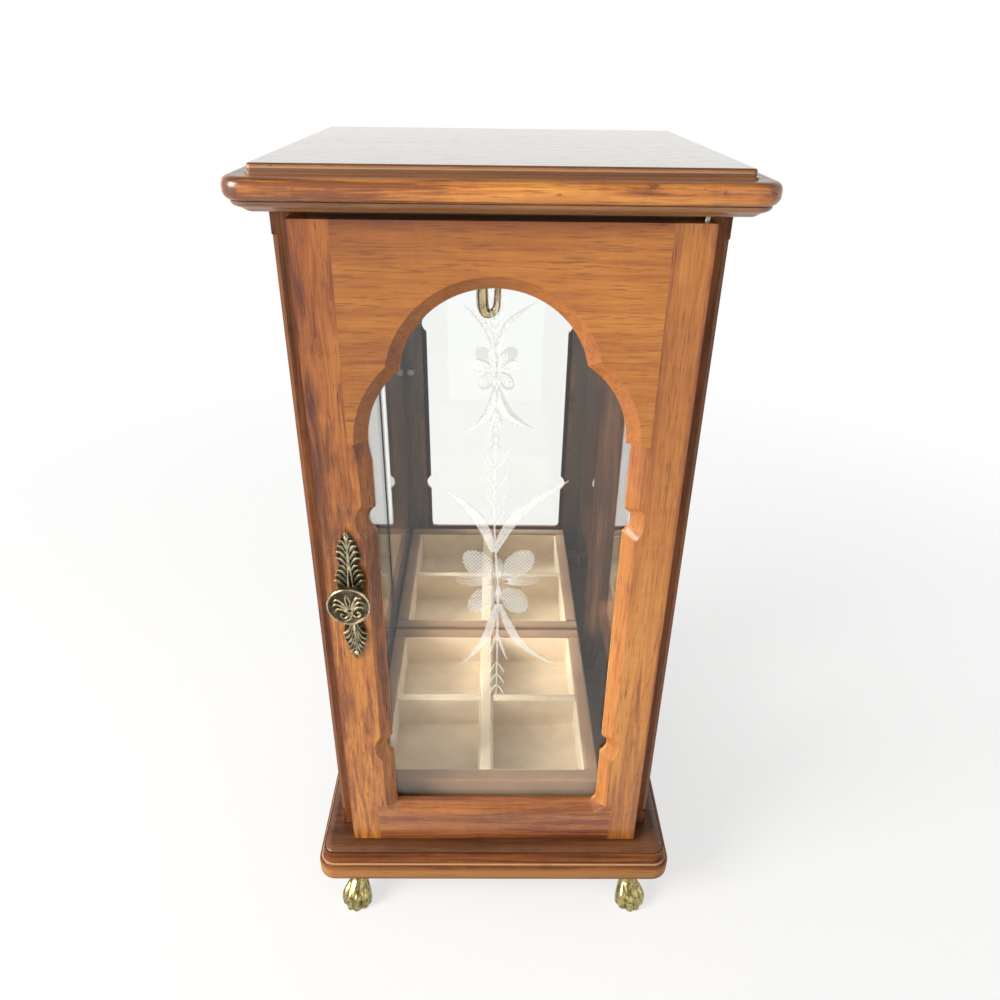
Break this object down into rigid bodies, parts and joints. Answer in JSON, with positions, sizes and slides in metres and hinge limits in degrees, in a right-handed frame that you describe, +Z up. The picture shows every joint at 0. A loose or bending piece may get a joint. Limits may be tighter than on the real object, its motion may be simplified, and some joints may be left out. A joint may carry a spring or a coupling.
{
  "type": "glass-front jewelry chest",
  "caption": "Tall wooden jewelry cabinet with a lobed glass door, glazed sides, mirror back, necklace hook, felt-lined tray and brass claw feet.",
  "frame": {"origin": "plan centre of the base, on the surface under the feet", "axes": "+Z up, the door faces -Y, +X to the right seen from the front"},
  "size_m": [0.1936, 0.192, 0.386],
  "materials": {
    "case_wood": "glossy lacquer over orange-brown stained wood, straight grain",
    "back_wood": "satin, thin panel",
    "tray_wood": "matt, felt-wrapped rims",
    "felt": "short felt",
    "glass": "clear, the door's pane cut with a floral spray",
    "mirror": "silvered",
    "polished_brass": "polished",
    "antique_brass": "antiqued relief with bright high spots",
    "steel": "plain"
  },
  "bodies": {
    "cabinet": {"back_brads": "steel", "back_mirror": "mirror", "back_panel": "back_wood", "base_board": "case_wood", "base_moulding_back": "case_wood", "base_moulding_front": "case_wood", "base_moulding_left": "case_wood", "base_moulding_right": "case_wood", "base_screws": "steel", "catch_magnet": "steel", "ceiling_board": "case_wood", "floor_board": "case_wood", "foot_front_left": "polished_brass", "foot_front_right": "polished_brass", "foot_rear_left": "polished_brass", "foot_rear_right": "polished_brass", "foot_studs": "steel", "front_post_left": "case_wood", "front_post_right": "case_wood", "lid_raised_panel": "case_wood", "lid_screws": "steel", "lid_slab": "case_wood", "lid_under_board": "case_wood", "mirror_clips": "polished_brass", "necklace_hook": "polished_brass", "pivot_pin_lower": "steel", "pivot_pin_upper": "steel", "rear_post_left": "case_wood", "rear_post_right": "case_wood", "side_bottom_rail_left": "case_wood", "side_bottom_rail_right": "case_wood", "side_glass_clips": "polished_brass", "side_glass_left": "glass", "side_glass_right": "glass", "side_top_rail_left": "case_wood", "side_top_rail_right": "case_wood"},
    "door": {"backplate_pins": "antique_brass", "door_bottom_rail": "case_wood", "door_glass": "glass", "door_glass_beads": "case_wood", "door_left_stile": "case_wood", "door_right_stile": "case_wood", "door_top_rail": "case_wood", "knob": "antique_brass", "knob_backplate": "antique_brass", "knob_screw": "steel", "strike_plate": "steel"},
    "tray": {"lining_front_left": "felt", "lining_front_right": "felt", "lining_rear_left": "felt", "lining_rear_right": "felt", "tray_back": "tray_wood", "tray_bottom": "tray_wood", "tray_cross_divider_left": "tray_wood", "tray_cross_divider_right": "tray_wood", "tray_front": "tray_wood", "tray_long_divider": "tray_wood", "tray_side_left": "tray_wood", "tray_side_right": "tray_wood"}
  },
  "joints": [
    {"name": "door_hinge", "type": "hinge", "parent": "cabinet", "child": "door", "pos_m": [0.0738, -0.07545, 0.0412], "axis": [0, 0, 1], "range_deg": [0, 180]},
    {"name": "tray_lift", "type": "slide", "parent": "cabinet", "child": "tray", "axis": [0, 0, 1], "range_m": [0, 0.2]}
  ]
}
